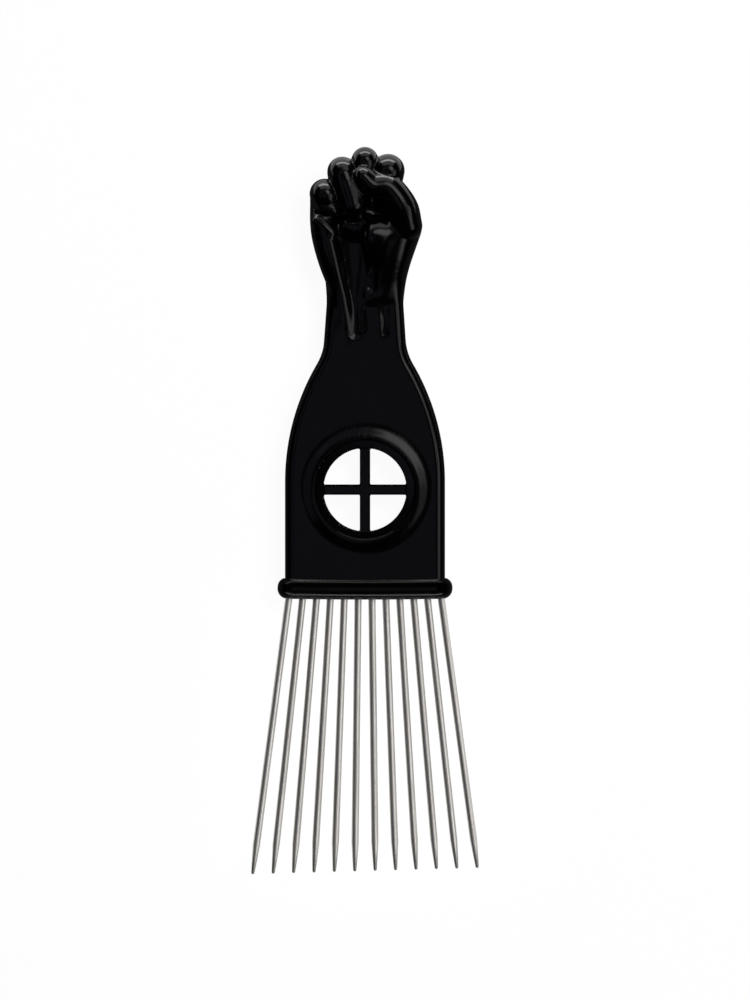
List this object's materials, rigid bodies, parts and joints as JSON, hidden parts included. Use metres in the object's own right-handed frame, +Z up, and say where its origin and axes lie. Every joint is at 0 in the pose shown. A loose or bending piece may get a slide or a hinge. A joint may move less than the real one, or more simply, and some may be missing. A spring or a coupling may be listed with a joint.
{
  "type": "afro pick",
  "caption": "Hair pick: a row of long steel tines fanned out of a black moulded handle that ends in a raised fist, with a round crossed window in its paddle.",
  "frame": {"origin": "on the surface that the pick lies on, under the middle of its length and width", "axes": "+X across the row of tines, +Y from the tines towards the fist, +Z up out of the palm side"},
  "size_m": [0.0548, 0.175, 0.015],
  "materials": {
    "handle_plastic": "black injection-moulded plastic, polished",
    "collar_plastic": "black injection-moulded plastic, polished",
    "tine_steel": "drawn steel wire, bright, with fine lines along its length"
  },
  "bodies": {
    "root": {"handle": "handle_plastic", "collar": "collar_plastic", "tine_01": "tine_steel", "tine_02": "tine_steel", "tine_03": "tine_steel", "tine_04": "tine_steel", "tine_05": "tine_steel", "tine_06": "tine_steel", "tine_07": "tine_steel", "tine_08": "tine_steel", "tine_09": "tine_steel", "tine_10": "tine_steel", "tine_11": "tine_steel", "tine_12": "tine_steel"}
  },
  "joints": []
}
